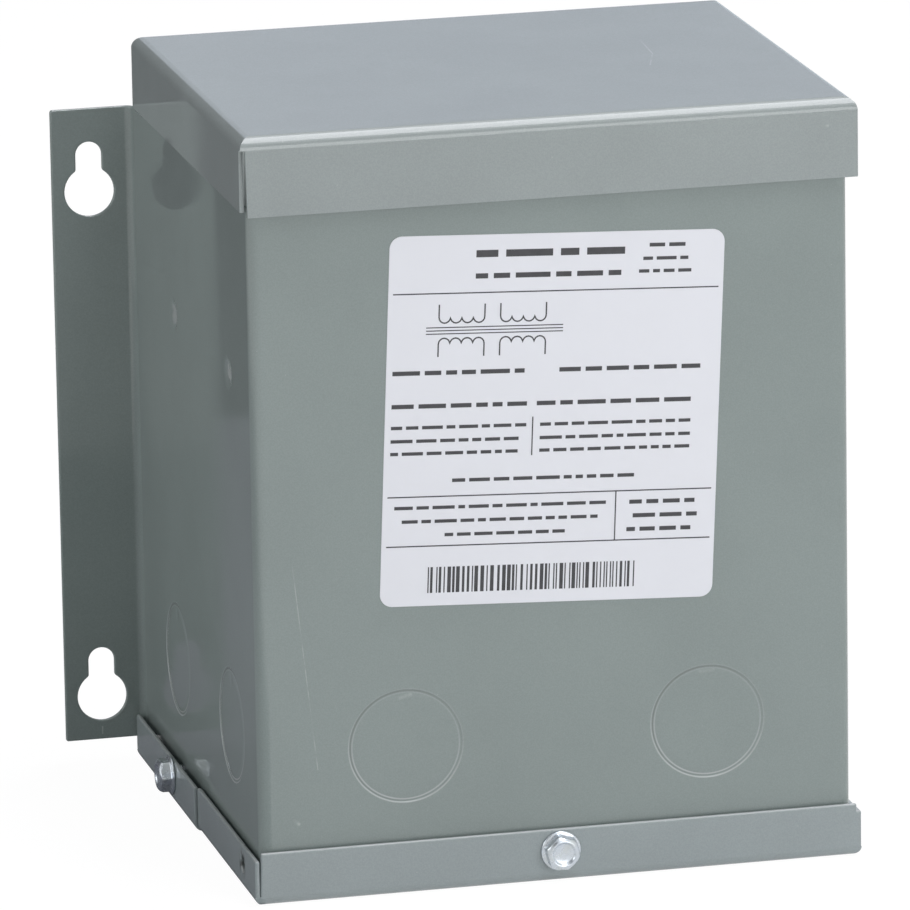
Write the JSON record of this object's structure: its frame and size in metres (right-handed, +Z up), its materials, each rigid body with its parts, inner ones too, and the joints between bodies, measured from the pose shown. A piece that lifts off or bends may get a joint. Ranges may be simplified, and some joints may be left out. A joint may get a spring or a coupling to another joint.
{
  "type": "buck boost transformer",
  "caption": "Small wall-hung buck boost transformer: folded sheet-steel case with lid, base covers, flanges with keyholes, conduit knockouts and a label.",
  "frame": {"origin": "middle of the bounding box, on the flat underside of the base covers", "axes": "+X to the right as seen from the front, +Y towards the wall, +Z up"},
  "size_m": [0.1952, 0.1456, 0.1953],
  "materials": {
    "case_paint": "semi-gloss",
    "zinc_screw": "bright zinc",
    "label": "matt film",
    "potting": "cast resin and sand"
  },
  "bodies": {
    "root": {"enclosure_wrapper": "case_paint", "back_panel": "case_paint", "top_cover": "case_paint", "front_base_cover": "case_paint", "rear_base_cover": "case_paint", "front_knockout_left": "case_paint", "left_knockout_front": "case_paint", "left_knockout_rear": "case_paint", "front_knockout_right": "case_paint", "right_knockout_front": "case_paint", "right_knockout_rear": "case_paint", "front_cover_screw": "zinc_screw", "left_cover_screw": "zinc_screw", "right_cover_screw": "zinc_screw", "rating_label": "label", "potted_core": "potting"}
  },
  "joints": []
}
